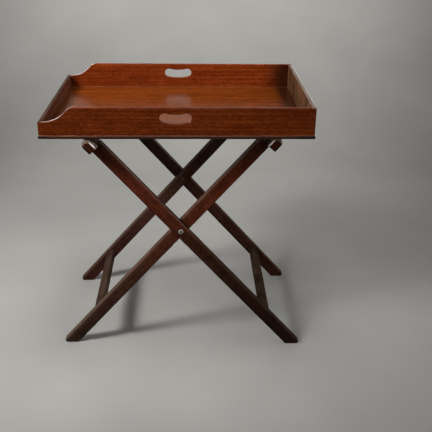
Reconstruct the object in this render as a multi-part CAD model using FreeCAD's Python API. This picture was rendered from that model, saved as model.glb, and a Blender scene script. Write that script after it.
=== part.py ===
"""Butler's tray table: a dovetailed hardwood tray that stands on a folding cross-legged stand.

Millimetres, +X to the right along the tray, +Y to the back, +Z up. The origin is on the floor,
under the middle of the tray. The stand is two hinged frames: the outer frame carries the left top
rail, and the inner frame, which nests inside it, carries the right one.
"""

import FreeCAD, Part
import math
import os

# Tray
TRAY_LENGTH = 780.0
TRAY_DEPTH = 546.0
SIDE_HEIGHT = 81.0
LOW_END_HEIGHT = 39.0
SIDE_THICKNESS = 11.0
SIDE_ARRIS = 2.2
OGEE_FLAT = 13.0
OGEE_RUN = 90.0
OGEE_ROUND_RADIUS = 31.0
HAND_HOLE_LENGTH = 91.0
HAND_HOLE_WIDTH = 27.5
HAND_HOLE_SAG = 4.0
HAND_HOLE_BELOW_TOP = 16.5
HAND_HOLE_SHIFT = -5.5
HAND_HOLE_ARRIS = 2.5
FLOOR_THICKNESS = 10.0
FLOOR_LIP = 2.0
FLOOR_BOARDS = ("front", "middle", "back")
LIP_ARRIS = 3.0
TAIL_PITCH = 20.0
PIN_NARROW = 5.0
DOVETAIL_SLOPE = 1.0 / 6.0
LONG_SIDE_SCREWS = 5
SCREW_END_INSET = 60.0
SCREW_HEAD_DIAMETER = 7.0
SCREW_SHANK_DIAMETER = 3.4
SCREW_HEAD_HEIGHT = 2.2
SCREW_LENGTH = 25.0
SCREW_SLOT_WIDTH = 0.9
SCREW_SLOT_DEPTH = 0.9

# Stand frames
STAND_SHIFT = 6.0
LEG_ANGLE = 41.5
LEG_BELOW_PIVOT = 558.8
LEG_ABOVE_PIVOT = 367.2
LEG_WIDTH = 40.0
LEG_THICKNESS = 20.0
LEG_ARRIS = 2.0
FOOT_ARRIS = 8.5
OUTER_FRAME_DEPTH = 470.0
RAIL_WIDTH = 32.0
RAIL_HEIGHT = 38.7
RAIL_OVERHANG = 45.0
RAIL_END_ROUNDING = 9.0
OUTER_RAIL_OUTSET = 3.0
INNER_RAIL_OUTSET = 21.0
STRETCHER_HEIGHT = 40.0
STRETCHER_THICKNESS = 20.0
STRETCHER_BELOW_PIVOT = 410.0
STRETCHER_ARRIS = 6.0
LEG_TENON_WIDTH = 14.0
LEG_TENON_THICKNESS = 9.0
LEG_TENON_LENGTH = 24.0
STRETCHER_TENON_HEIGHT = 26.0
STRETCHER_TENON_THICKNESS = 9.0
STRETCHER_TENON_LENGTH = 13.0

# Pivots
PIVOT_DIAMETER = 8.0
PIVOT_RUNNING_CLEARANCE = 0.08
PIVOT_HEAD_DIAMETER = 9.6
PIVOT_HEAD_HEIGHT = 2.6
PIVOT_HEAD_ROUNDING = 2.0
WASHER_DIAMETER = 14.0
WASHER_THICKNESS = 1.4
SPACER_DIAMETER = 24.0
SPACER_THICKNESS = 1.5

# Webbing
STRAP_WIDTH = 50.0
STRAP_THICKNESS = 2.0
STRAP_SPACING = 220.0
STRAP_TAIL = 21.0
STRAP_CLEARANCE = 0.3
TACKS_PER_END = 3
TACK_SPACING = 15.0
TACK_HEAD_DIAMETER = 8.0
TACK_CROWN_DIAMETER = 4.0
TACK_HEAD_HEIGHT = 1.6
TACK_SHANK_DIAMETER = 2.2
TACK_SHANK_LENGTH = 13.0
TACK_HOLE_CLEARANCE = 0.3

# Places that follow from the sizes above
SLANT = math.radians(LEG_ANGLE)
PIVOT_HEIGHT = LEG_BELOW_PIVOT * math.cos(SLANT)
RAIL_RADIUS = RAIL_WIDTH / 2
RAIL_CROWN = LEG_ABOVE_PIVOT + RAIL_HEIGHT - RAIL_RADIUS
STRAP_INNER_RADIUS = RAIL_RADIUS + STRAP_CLEARANCE
STRAP_OUTER_RADIUS = STRAP_INNER_RADIUS + STRAP_THICKNESS
TRAY_UNDERSIDE = PIVOT_HEIGHT + RAIL_CROWN * math.cos(SLANT) + STRAP_OUTER_RADIUS
INNER_FRAME_DEPTH = OUTER_FRAME_DEPTH - 2 * (LEG_THICKNESS + SPACER_THICKNESS)
FRAME_DEPTHS = {"outer": OUTER_FRAME_DEPTH, "inner": INNER_FRAME_DEPTH}

# The outer frame's legs lean to the left at the top, and the inner frame's to the right
LEAN = {"outer": -1, "inner": 1}

# How far each rail sits out from its legs' middle line, measured level
RAIL_OUTSETS = {"outer": OUTER_RAIL_OUTSET, "inner": INNER_RAIL_OUTSET}

# The front of the object is towards -Y
TOWARDS = {"front": -1, "rear": 1}

# Spare length on a cutting solid, so that it passes right through what it cuts
THROUGH = 10.0

# Two places closer than this are one place
SAME_PLACE = 1e-4


def vec(x, y, z):
    return FreeCAD.Vector(x, y, z)


def block(low, high):
    size = [b - a for a, b in zip(low, high)]
    return Part.makeBox(size[0], size[1], size[2], vec(*low))


def outline(points):
    """A closed wire in the XZ plane, from the first point through the rest and back.

    A point (x, z) ends a straight line. A pair ((x, z), (x, z)) is an arc's middle and its end.
    """
    edges = []
    last = points[0]
    for point in points[1:]:
        if isinstance(point[0], tuple):
            edges.append(Part.Arc(*[in_plane(p) for p in (last, point[0], point[1])]).toShape())
            last = point[1]
        else:
            edges.append(Part.LineSegment(in_plane(last), in_plane(point)).toShape())
            last = point
    if math.dist(last, points[0]) > SAME_PLACE:
        edges.append(Part.LineSegment(in_plane(last), in_plane(points[0])).toShape())
    return Part.Wire(edges)


def in_plane(point):
    return vec(point[0], 0, point[1])


def eased_corner(before, corner, after, radius):
    """The start of the arc that rounds a corner of an outline, then its middle and end."""
    at = in_plane(corner)
    back = (in_plane(before) - at).normalize()
    on = (in_plane(after) - at).normalize()
    half_angle = back.getAngle(on) / 2
    reach = radius / math.tan(half_angle)
    inwards = (back + on).normalize()
    start = at + back * reach
    middle = at + inwards * (radius / math.sin(half_angle) - radius)
    end = at + on * reach
    return [(start.x, start.z), ((middle.x, middle.z), (end.x, end.z))]


def extruded(wire, y_from, y_to):
    face = Part.Face(wire)
    face.translate(vec(0, y_from, 0))
    return face.extrude(vec(0, y_to - y_from, 0))


def edges_where(shape, test):
    return [edge for edge in shape.Edges if test(edge.BoundBox)]


def rounded(shape, radius, test):
    return shape.makeFillet(radius, edges_where(shape, test))


def near(a, b):
    return abs(a - b) < SAME_PLACE


def flat_at(low, high, value):
    return near(low, value) and near(high, value)


def on_circle(centre, radius, angle):
    return (centre[0] + radius * math.cos(angle), centre[1] + radius * math.sin(angle))


def group(shapes):
    return Part.makeCompound(shapes)


# Tray sides


def side_profile():
    """The long side seen from the front: low at the left, then a hollow and a round up to full height."""
    left = -TRAY_LENGTH / 2
    right = TRAY_LENGTH / 2
    base = FLOOR_THICKNESS
    low = base + LOW_END_HEIGHT
    top = base + SIDE_HEIGHT
    rise = top - low
    radii = (OGEE_RUN ** 2 + rise ** 2) / (2 * rise)
    turn = 2 * math.atan2(rise, OGEE_RUN)
    round_radius = OGEE_ROUND_RADIUS
    hollow_radius = radii - round_radius
    start = left + OGEE_FLAT
    hollow_centre = (start, low + hollow_radius)
    round_centre = (start + OGEE_RUN, top - round_radius)
    down = -math.pi / 2
    up = math.pi / 2
    hollow_middle = on_circle(hollow_centre, hollow_radius, down + turn / 2)
    hollow_end = on_circle(hollow_centre, hollow_radius, down + turn)
    round_middle = on_circle(round_centre, round_radius, up + turn / 2)
    return outline([
        (left, base),
        (left, low),
        (start, low),
        (hollow_middle, hollow_end),
        (round_middle, (start + OGEE_RUN, top)),
        (right, top),
        (right, base),
    ])


def hand_hole(y_from, y_to):
    """A kidney-shaped slot along a shallow arc that sags in the middle."""
    end_radius = HAND_HOLE_WIDTH / 2
    half_chord = HAND_HOLE_LENGTH / 2 - end_radius
    bend = (half_chord ** 2 + HAND_HOLE_SAG ** 2) / (2 * HAND_HOLE_SAG)
    half_turn = math.asin(half_chord / bend)
    ends_height = FLOOR_THICKNESS + SIDE_HEIGHT - HAND_HOLE_BELOW_TOP - end_radius
    centre = (HAND_HOLE_SHIFT, ends_height + bend * math.cos(half_turn))
    down = -math.pi / 2
    left = down - half_turn
    right = down + half_turn
    left_end = on_circle(centre, bend, left)
    right_end = on_circle(centre, bend, right)
    lower = bend + end_radius
    upper = bend - end_radius
    wire = outline([
        on_circle(centre, lower, left),
        (on_circle(centre, lower, down), on_circle(centre, lower, right)),
        (on_circle(right_end, end_radius, right + math.pi / 2), on_circle(centre, upper, right)),
        (on_circle(centre, upper, down), on_circle(centre, upper, left)),
        (on_circle(left_end, end_radius, left - math.pi / 2), on_circle(centre, lower, left)),
    ])
    return extruded(wire, y_from, y_to)


def long_side_blank(towards):
    """A long side before its dovetails are cut, with every top edge and outer corner eased."""
    outside = towards * TRAY_DEPTH / 2
    inside = towards * (TRAY_DEPTH / 2 - SIDE_THICKNESS)
    front, back = sorted((outside, inside))
    base = FLOOR_THICKNESS
    blank = extruded(side_profile(), front, back)

    def eased(box):
        along_face = flat_at(box.YMin, box.YMax, front) or flat_at(box.YMin, box.YMax, back)
        at_base = flat_at(box.ZMin, box.ZMax, base)
        at_left = flat_at(box.XMin, box.XMax, -TRAY_LENGTH / 2)
        at_right = flat_at(box.XMin, box.XMax, TRAY_LENGTH / 2)
        at_end = at_left or at_right
        inner_corner = at_end and flat_at(box.YMin, box.YMax, inside)
        return along_face and not at_base and not inner_corner

    blank = rounded(blank, SIDE_ARRIS, eased)
    blank = blank.cut(hand_hole(front - THROUGH, back + THROUGH))
    reach = HAND_HOLE_LENGTH / 2 + HAND_HOLE_ARRIS

    def hole_edge(box):
        on_face = flat_at(box.YMin, box.YMax, front) or flat_at(box.YMin, box.YMax, back)
        return on_face and box.XMin > HAND_HOLE_SHIFT - reach and box.XMax < HAND_HOLE_SHIFT + reach

    return rounded(blank, HAND_HOLE_ARRIS, hole_edge)


def dovetail_pins(end, height, towards):
    """The wedge-shaped pins of one end board, as prisms through the long side's thickness."""
    outer = end * TRAY_LENGTH / 2
    inner = end * (TRAY_LENGTH / 2 - SIDE_THICKNESS)
    half_narrow = PIN_NARROW / 2
    half_wide = half_narrow + SIDE_THICKNESS * DOVETAIL_SLOPE
    tails = max(1, round(height / TAIL_PITCH))
    base = FLOOR_THICKNESS
    faces = sorted((towards * TRAY_DEPTH / 2, towards * (TRAY_DEPTH / 2 - SIDE_THICKNESS)))
    pins = []
    for index in range(tails + 1):
        middle = base + index * height / tails
        lower = 0 if index == 0 else 1
        upper = 0 if index == tails else 1
        wedge = outline([
            (outer, middle - lower * half_narrow),
            (inner, middle - lower * half_wide),
            (inner, middle + upper * half_wide),
            (outer, middle + upper * half_narrow),
        ])
        pins.append(extruded(wedge, faces[0], faces[1]))
    return pins


def end_board(end, height, blanks):
    """An end board between the long sides, with its pins cut to the eased shape of those sides."""
    outer = end * TRAY_LENGTH / 2
    inner = end * (TRAY_LENGTH / 2 - SIDE_THICKNESS)
    inside = TRAY_DEPTH / 2 - SIDE_THICKNESS
    left, right = sorted((outer, inner))
    top = FLOOR_THICKNESS + height
    board = block((left, -inside, FLOOR_THICKNESS), (right, inside, top))

    def top_edge(box):
        return flat_at(box.ZMin, box.ZMax, top) and near(box.YLength, 2 * inside)

    board = rounded(board, SIDE_ARRIS, top_edge)
    pins = []
    for towards, blank in blanks.items():
        for prism in dovetail_pins(end, height, TOWARDS[towards]):
            pins.append(prism.common(blank))
    return board.fuse(pins).removeSplitter()


# Tray floor


def screw_places():
    """Where the floor is screwed to the sides: along both long sides, and once per board at each end."""
    places = []
    row = TRAY_DEPTH / 2 - SIDE_THICKNESS / 2
    span = TRAY_LENGTH - 2 * SCREW_END_INSET
    for index in range(LONG_SIDE_SCREWS):
        x = -span / 2 + index * span / (LONG_SIDE_SCREWS - 1)
        places += [(x, -row), (x, row)]
    column = TRAY_LENGTH / 2 - SIDE_THICKNESS / 2
    for low, high in floor_board_edges():
        places += [(-column, (low + high) / 2), (column, (low + high) / 2)]
    return places


def floor_board_edges():
    depth = TRAY_DEPTH + 2 * FLOOR_LIP
    count = len(FLOOR_BOARDS)
    joints = [-depth / 2 + index * depth / count for index in range(count + 1)]
    return list(zip(joints[:-1], joints[1:]))


def screw_blank(place):
    """A countersunk wood screw driven upwards, before its slot is cut."""
    at = vec(place[0], place[1], 0)
    head = Part.makeCone(SCREW_HEAD_DIAMETER / 2, SCREW_SHANK_DIAMETER / 2, SCREW_HEAD_HEIGHT, at)
    shank_start = vec(place[0], place[1], SCREW_HEAD_HEIGHT)
    shank = Part.makeCylinder(SCREW_SHANK_DIAMETER / 2, SCREW_LENGTH - SCREW_HEAD_HEIGHT, shank_start)
    return head.fuse(shank).removeSplitter()


def slotted(screw, place):
    half = SCREW_HEAD_DIAMETER
    slot = block(
        (place[0] - half, place[1] - SCREW_SLOT_WIDTH / 2, -THROUGH),
        (place[0] + half, place[1] + SCREW_SLOT_WIDTH / 2, SCREW_SLOT_DEPTH),
    )
    return screw.cut(slot)


def floor_board(low, high):
    """One lengthwise board of the floor. Only the edges on the tray's outline are rounded."""
    half_length = TRAY_LENGTH / 2 + FLOOR_LIP
    half_depth = TRAY_DEPTH / 2 + FLOOR_LIP
    board = block((-half_length, low, 0), (half_length, high, FLOOR_THICKNESS))

    def on_outline(box):
        level = near(box.ZLength, 0)
        at_end = flat_at(box.XMin, box.XMax, -half_length) or flat_at(box.XMin, box.XMax, half_length)
        at_front = flat_at(box.YMin, box.YMax, -half_depth)
        at_back = flat_at(box.YMin, box.YMax, half_depth)
        corner = at_end and (at_front or at_back)
        return corner or (level and (at_end or at_front or at_back))

    return rounded(board, LIP_ARRIS, on_outline)


def tray_nodes():
    blanks = {name: long_side_blank(towards) for name, towards in TOWARDS.items()}
    low_end = end_board(-1, LOW_END_HEIGHT, blanks)
    high_end = end_board(1, SIDE_HEIGHT, blanks)
    places = screw_places()
    screws = [screw_blank(place) for place in places]
    nodes = {
        "tray_front_side": blanks["front"].cut([low_end, high_end]),
        "tray_back_side": blanks["rear"].cut([low_end, high_end]),
        "tray_low_end": low_end,
        "tray_high_end": high_end,
    }
    for name, (low, high) in zip(FLOOR_BOARDS, floor_board_edges()):
        nodes["tray_floor_" + name + "_board"] = floor_board(low, high)
    nodes = {name: shape.cut(screws) for name, shape in nodes.items()}
    nodes["tray_floor_screws"] = group([slotted(s, p) for s, p in zip(screws, places)])
    for shape in nodes.values():
        shape.translate(vec(0, 0, TRAY_UNDERSIDE))
    return nodes


# Stand


def set_in_frame(shape, frame):
    """Turns a piece made upright about the pivot to its frame's lean, and sets it at the pivot."""
    shape.rotate(vec(0, 0, 0), vec(0, 1, 0), LEAN[frame] * LEG_ANGLE)
    shape.translate(vec(STAND_SHIFT, 0, PIVOT_HEIGHT))
    return shape


def rail_middle(frame):
    """How far a rail stands to the side of its upright legs' middle line."""
    return LEAN[frame] * RAIL_OUTSETS[frame] * math.cos(SLANT)


def rail_foot(frame):
    """The height of a rail's underside above the pivot, along its upright legs."""
    return LEG_ABOVE_PIVOT + RAIL_OUTSETS[frame] * math.sin(SLANT)


def leg_faces(frame, towards):
    """The Y of a leg's two wide faces, the lower value first."""
    outside = towards * FRAME_DEPTHS[frame] / 2
    return sorted((outside, outside - towards * LEG_THICKNESS))


def leg_tenon(frame, towards):
    """A leg's tenon, in the middle of the width that the leg and its rail share."""
    front, back = leg_faces(frame, towards)
    y_middle = (front + back) / 2
    rail_at = rail_middle(frame)
    left = max(-LEG_WIDTH / 2, rail_at - RAIL_RADIUS)
    right = min(LEG_WIDTH / 2, rail_at + RAIL_RADIUS)
    x_middle = (left + right) / 2
    foot = rail_foot(frame)
    return block(
        (x_middle - LEG_TENON_WIDTH / 2, y_middle - LEG_TENON_THICKNESS / 2, foot),
        (x_middle + LEG_TENON_WIDTH / 2, y_middle + LEG_TENON_THICKNESS / 2, foot + LEG_TENON_LENGTH),
    )


def stretcher_tenon(frame, towards):
    inner_face = towards * (FRAME_DEPTHS[frame] / 2 - LEG_THICKNESS)
    front, back = sorted((inner_face, inner_face + towards * STRETCHER_TENON_LENGTH))
    half_height = STRETCHER_TENON_HEIGHT / 2
    return block(
        (-STRETCHER_TENON_THICKNESS / 2, front, -STRETCHER_BELOW_PIVOT - half_height),
        (STRETCHER_TENON_THICKNESS / 2, back, -STRETCHER_BELOW_PIVOT + half_height),
    )


def pivot_hole(frame):
    clearance = PIVOT_RUNNING_CLEARANCE if frame == "inner" else 0.0
    reach = OUTER_FRAME_DEPTH / 2 + THROUGH
    return Part.makeCylinder(PIVOT_DIAMETER / 2 + clearance, 2 * reach, vec(0, -reach, 0), vec(0, 1, 0))


def leg(frame, towards):
    """A leg upright about the pivot. Its foot is cut so that it stands flat once the frame leans."""
    half = LEG_WIDTH / 2
    step = LEAN[frame] * half * math.tan(SLANT)
    left_top = (-half, rail_foot(frame))
    right_top = (half, rail_foot(frame))
    right_foot = (half, -LEG_BELOW_PIVOT + step)
    left_foot = (-half, -LEG_BELOW_PIVOT - step)
    wire = outline([
        left_top,
        right_top,
        *eased_corner(right_top, right_foot, left_foot, FOOT_ARRIS),
        *eased_corner(right_foot, left_foot, left_top, FOOT_ARRIS),
    ])
    front, back = leg_faces(frame, towards)
    shape = extruded(wire, front, back)
    shape = rounded(shape, LEG_ARRIS, lambda box: near(box.YLength, 0) and box.ZMin < 0)
    shape = shape.fuse(leg_tenon(frame, towards)).removeSplitter()
    shape = shape.cut([stretcher_tenon(frame, towards), pivot_hole(frame)])
    return set_in_frame(shape, frame)


def rail_half_length(frame):
    return FRAME_DEPTHS[frame] / 2 + RAIL_OVERHANG


def top_rail(frame):
    """A top rail with a flat underside and a half-round top, rounded over at both ends."""
    foot = rail_foot(frame)
    top = foot + RAIL_HEIGHT
    crown = top - RAIL_RADIUS
    middle = rail_middle(frame)
    half_length = rail_half_length(frame)
    section = outline([
        (middle - RAIL_RADIUS, foot),
        (middle - RAIL_RADIUS, crown),
        ((middle, top), (middle + RAIL_RADIUS, crown)),
        (middle + RAIL_RADIUS, foot),
    ])
    rail = extruded(section, -half_length, half_length)

    def end_edge(box):
        at_end = flat_at(box.YMin, box.YMax, -half_length) or flat_at(box.YMin, box.YMax, half_length)
        return at_end and not flat_at(box.ZMin, box.ZMax, foot)

    rail = rounded(rail, RAIL_END_ROUNDING, end_edge)
    rail = rail.cut([leg_tenon(frame, towards) for towards in TOWARDS.values()])
    return set_in_frame(rail, frame)


def stretcher(frame):
    """The lower cross bar: a board in the frame's plane, with rounded edges and a tenon at each end."""
    shoulder = FRAME_DEPTHS[frame] / 2 - LEG_THICKNESS
    half_height = STRETCHER_HEIGHT / 2
    half_thickness = STRETCHER_THICKNESS / 2
    bar = block(
        (-half_thickness, -shoulder, -STRETCHER_BELOW_PIVOT - half_height),
        (half_thickness, shoulder, -STRETCHER_BELOW_PIVOT + half_height),
    )
    bar = rounded(bar, STRETCHER_ARRIS, lambda box: near(box.YLength, 2 * shoulder))
    bar = bar.fuse([stretcher_tenon(frame, towards) for towards in TOWARDS.values()]).removeSplitter()
    return set_in_frame(bar, frame)


# Pivots


def disc(diameter, y_from, y_to, bore=0.0):
    """A round plate on the pivot axis, with a hole where a bore is given."""
    low, high = sorted((y_from, y_to))
    at = vec(STAND_SHIFT, low, PIVOT_HEIGHT)
    plate = Part.makeCylinder(diameter / 2, high - low, at, vec(0, 1, 0))
    if bore:
        plate = plate.cut(Part.makeCylinder(bore / 2, high - low, at, vec(0, 1, 0)))
    return plate


def rivet_head(y_seat, outwards):
    """A low domed head whose flat side lies on y_seat."""
    y_top = y_seat + outwards * PIVOT_HEAD_HEIGHT
    head = disc(PIVOT_HEAD_DIAMETER, y_seat, y_top)
    return rounded(head, PIVOT_HEAD_ROUNDING, lambda box: flat_at(box.YMin, box.YMax, y_top))


def pivot_nodes(name, towards):
    """One riveted pivot: a pin headed at both ends, a washer under each head, a spacer between the legs."""
    outer_face = towards * OUTER_FRAME_DEPTH / 2
    spacer_outer = outer_face - towards * LEG_THICKNESS
    spacer_inner = spacer_outer - towards * SPACER_THICKNESS
    inner_face = spacer_inner - towards * LEG_THICKNESS
    outer_seat = outer_face + towards * WASHER_THICKNESS
    inner_seat = inner_face - towards * WASHER_THICKNESS
    pin = disc(PIVOT_DIAMETER, outer_seat, inner_seat)
    pin = pin.fuse([rivet_head(outer_seat, towards), rivet_head(inner_seat, -towards)]).removeSplitter()
    return {
        name + "_pivot_pin": pin,
        name + "_pivot_outer_washer": disc(WASHER_DIAMETER, outer_face, outer_seat, PIVOT_DIAMETER),
        name + "_pivot_spacer": disc(SPACER_DIAMETER, spacer_outer, spacer_inner, PIVOT_DIAMETER),
        name + "_pivot_inner_washer": disc(WASHER_DIAMETER, inner_face, inner_seat, PIVOT_DIAMETER),
    }


# Webbing


def crown_centre(side):
    """The centre of a rail's rounded top: side is -1 for the left rail and 1 for the right one."""
    frame = "outer" if side == LEAN["outer"] else "inner"
    out = RAIL_CROWN * math.sin(SLANT) + RAIL_OUTSETS[frame]
    return (STAND_SHIFT + side * out, PIVOT_HEIGHT + RAIL_CROWN * math.cos(SLANT))


def outward(side):
    """The unit vector square to a rail's outer face, pointing away from the stand."""
    return (side * math.cos(SLANT), -math.sin(SLANT))


def tail_point(side, radius, along):
    """A point beside a rail's outer face, along that face from the end of its rounded top."""
    centre = crown_centre(side)
    out = outward(side)
    down = (-side * math.sin(SLANT), -math.cos(SLANT))
    return (centre[0] + radius * out[0] + along * down[0], centre[1] + radius * out[1] + along * down[1])


def crown_top(side, radius):
    """The point straight above a rail's crown, where the strap leaves the rail and runs level."""
    centre = crown_centre(side)
    return (centre[0], centre[1] + radius)


def wrap_middle(side, radius):
    """The middle of the strap's wrap, between the top of the rail and its outer face."""
    turn = (math.pi / 2 + SLANT) / 2
    centre = crown_centre(side)
    return (centre[0] + side * radius * math.sin(turn), centre[1] + radius * math.cos(turn))


def strap(middle):
    """A taut strap over both rails, tacked down on their outer faces."""
    inner = STRAP_INNER_RADIUS
    outer = STRAP_OUTER_RADIUS
    left = LEAN["outer"]
    right = LEAN["inner"]
    wire = outline([
        tail_point(left, inner, STRAP_TAIL),
        tail_point(left, inner, 0),
        (wrap_middle(left, inner), crown_top(left, inner)),
        crown_top(right, inner),
        (wrap_middle(right, inner), tail_point(right, inner, 0)),
        tail_point(right, inner, STRAP_TAIL),
        tail_point(right, outer, STRAP_TAIL),
        tail_point(right, outer, 0),
        (wrap_middle(right, outer), crown_top(right, outer)),
        crown_top(left, outer),
        (wrap_middle(left, outer), tail_point(left, outer, 0)),
        tail_point(left, outer, STRAP_TAIL),
    ])
    return extruded(wire, middle - STRAP_WIDTH / 2, middle + STRAP_WIDTH / 2)


def strap_middles():
    return {"front": -STRAP_SPACING / 2, "rear": STRAP_SPACING / 2}


def tack_rows():
    """The Y of every tack along one rail."""
    half = (TACKS_PER_END - 1) / 2
    offsets = [(index - half) * TACK_SPACING for index in range(TACKS_PER_END)]
    return [middle + offset for middle in strap_middles().values() for offset in offsets]


def tack_shank(side, y, clearance=0.0):
    """A tack's shank, from the strap's outer face into the rail."""
    seat = tail_point(side, STRAP_OUTER_RADIUS, STRAP_TAIL / 2)
    out = outward(side)
    radius = TACK_SHANK_DIAMETER / 2 + clearance
    return Part.makeCylinder(radius, TACK_SHANK_LENGTH, vec(seat[0], y, seat[1]), vec(-out[0], 0, -out[1]))


def tack(side, y):
    """A round-headed tack whose head lies flat on the strap."""
    seat = tail_point(side, STRAP_OUTER_RADIUS, STRAP_TAIL / 2)
    out = outward(side)
    at = vec(seat[0], y, seat[1])
    away = vec(out[0], 0, out[1])
    head = Part.makeCone(TACK_HEAD_DIAMETER / 2, TACK_CROWN_DIAMETER / 2, TACK_HEAD_HEIGHT, at, away)
    return head.fuse(tack_shank(side, y)).removeSplitter()


def stand_nodes():
    nodes = {}
    for frame, side in LEAN.items():
        for name, towards in TOWARDS.items():
            nodes[frame + "_" + name + "_leg"] = leg(frame, towards)
        shanks = [tack_shank(side, y) for y in tack_rows()]
        nodes[frame + "_top_rail"] = top_rail(frame).cut(shanks)
        nodes[frame + "_stretcher"] = stretcher(frame)
        nodes[frame + "_strap_tacks"] = group([tack(side, y) for y in tack_rows()])
    for name, towards in TOWARDS.items():
        nodes.update(pivot_nodes(name, towards))
    holes = [tack_shank(side, y, TACK_HOLE_CLEARANCE) for side in LEAN.values() for y in tack_rows()]
    for name, middle in strap_middles().items():
        nodes["webbing_strap_" + name] = strap(middle).cut(holes)
    return nodes


def main():
    os.makedirs("parts", exist_ok=True)
    nodes = tray_nodes()
    nodes.update(stand_nodes())
    for name, shape in nodes.items():
        shape.exportStep("parts/" + name + ".step")


main()
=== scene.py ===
import math

import bmesh
import bpy
from mathutils import Matrix, Vector


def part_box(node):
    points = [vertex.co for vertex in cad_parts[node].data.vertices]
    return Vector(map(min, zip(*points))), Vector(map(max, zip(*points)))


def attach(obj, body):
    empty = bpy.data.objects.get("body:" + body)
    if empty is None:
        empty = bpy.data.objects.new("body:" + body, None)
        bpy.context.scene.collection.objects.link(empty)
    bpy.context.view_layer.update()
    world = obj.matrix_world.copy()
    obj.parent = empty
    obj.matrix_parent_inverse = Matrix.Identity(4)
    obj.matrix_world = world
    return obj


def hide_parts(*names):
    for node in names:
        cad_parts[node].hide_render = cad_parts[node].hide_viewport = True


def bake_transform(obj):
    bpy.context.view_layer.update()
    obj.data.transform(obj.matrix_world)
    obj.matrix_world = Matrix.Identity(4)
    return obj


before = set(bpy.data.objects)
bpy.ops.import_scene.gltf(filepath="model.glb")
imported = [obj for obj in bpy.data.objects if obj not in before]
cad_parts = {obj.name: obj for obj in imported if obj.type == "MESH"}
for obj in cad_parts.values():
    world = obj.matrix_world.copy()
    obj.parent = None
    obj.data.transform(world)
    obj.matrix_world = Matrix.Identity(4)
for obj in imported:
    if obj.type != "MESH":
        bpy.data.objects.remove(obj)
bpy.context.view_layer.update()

scene = bpy.context.scene

# Camera, solved in the photograph's 432 by 432 frame
PHOTO_SIZE = 432
FOCAL_PIXELS = 701.19
SENSOR_MM = 36.0
CAMERA_PLACE = (0.0348, -2.1645, 1.3731)
CAMERA_PITCH = 25.045
CAMERA_YAW = 2.322
CAMERA_ROLL = 0.767

# Sweep: a floor that curves up into a wall behind the table, in paper that is a little mottled
SWEEP_HALF_WIDTH = 5.0
SWEEP_FRONT = -4.0
SWEEP_WALL = 3.0
SWEEP_BEND = 1.7
SWEEP_TOP = 4.5
SWEEP_BEND_STEPS = 32
SWEEP_COLOUR = (0.285, 0.278, 0.261)
SWEEP_MOTTLE = ((0.3, 0.86), (0.7, 1.12))
SWEEP_ROUGHNESS = 0.85
SWEEP_SPECULAR = 0.2

# Light: soft panels around the table, each with its width and height, beam angle and power
WORLD_COLOUR = (0.97, 0.98, 1.0)
WORLD_STRENGTH = 0.13
LIGHTS = {
    "left_key": {
        "place": (-2.1, -1.25, 2.4), "aim": (-0.50, -0.10, 0.2),
        "size": (0.7, 0.7), "spread": 53.0, "watts": 11.4,
    },
    "overhead": {
        "place": (0.15, -0.1, 3.0), "aim": (0.1, 0.15, 0.6),
        "size": (0.9, 0.9), "spread": 75.0, "watts": 7.0,
    },
    "left_catch": {
        "place": (-1.3, -2.5, 1.2), "aim": (0.1, -0.2, 0.7),
        "size": (0.4, 0.4), "spread": 60.0, "watts": 1.2,
    },
    "right_catch": {
        "place": (1.2, -2.6, 1.5), "aim": (-0.1, -0.2, 0.7),
        "size": (0.4, 0.4), "spread": 60.0, "watts": 1.4,
    },
    "back_panel": {
        "place": (-1.2, 2.5, 0.9), "aim": (-0.3, 0.0, 0.8),
        "size": (1.0, 0.6), "spread": 90.0, "watts": 4.4,
    },
    "right_fill": {
        "place": (2.8, 0.3, 0.62), "aim": (0.3, 0.1, 0.55),
        "size": (1.4, 0.7), "spread": 70.0, "watts": 5.5,
    },
    "back_fill": {
        "place": (0.9, 2.6, 0.62), "aim": (0.1, 0.25, 0.55),
        "size": (1.4, 0.7), "spread": 60.0, "watts": 4.5,
    },
    "wall_wash": {
        "place": (0.2, 1.2, 2.6), "aim": (0.0, 3.0, 1.1),
        "size": (2.0, 2.0), "spread": 115.0, "watts": 48.0,
    },
}

# The stand's legs: their slope from upright, half their width, and the pivot in X and Z
LEG_SLOPE = math.radians(41.5)
LEG_HALF_WIDTH = 0.020
PIVOT_X = 0.006
PIVOT_Z = 0.4185

# Webbing, in metres, and how thick its selvedges are beside its middle
STRAP_WIDTH = 0.050
STRAP_THICKNESS = 0.002
STRAP_WRAP_RADIUS = 0.0163
STRAP_REACH = STRAP_WRAP_RADIUS + STRAP_THICKNESS
STRAP_TAIL = 0.021
STRAP_SAG = 0.0022
STRAP_STEP = 0.004
STRAP_ACROSS = 14
STRAP_EDGE_ROUNDING = 0.0016
SELVEDGE_SHARE = 0.45
WEAVE_PITCH = 0.0021

# Tacks that hold the webbing to the rails
TACKS_PER_END = 3
TACK_SPACING = 0.015
TACK_HEAD_RADIUS = 0.004
TACK_HEAD_HEIGHT = 0.0018
TACK_SIDES = 16
TACK_RINGS = 5
TACK_SEED = 7
TACK_TILT = 0.10

# Noise settings: the scale where it is fixed, then the detail and the roughness
SWEEP_CLOUD = (0.9, 4.0, 0.55)
GRAIN_WAVER = (1.0, 2.0, 0.5)
ARRIS_PATCHES = (4.0, 0.65)
DUST_PATCHES = (5.0, 0.6)
SLUB_THREADS = (1.0, 3.0, 0.6)
TARNISH_PATCHES = (5.0, 0.65)
METAL_SCRATCHES = (1.0, 2.0, 0.5)
CORNER_RAGGED = (38.0, 3.0, 0.6)
END_RUNS = (1.0, 3.0, 0.6)
EASED_PATCHES = (34.0, 4.0, 0.65)
STAIN_PATCHES = (27.0, 4.0, 0.6)
STRAP_GRIME = (14.0, 4.0, 0.6)

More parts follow.
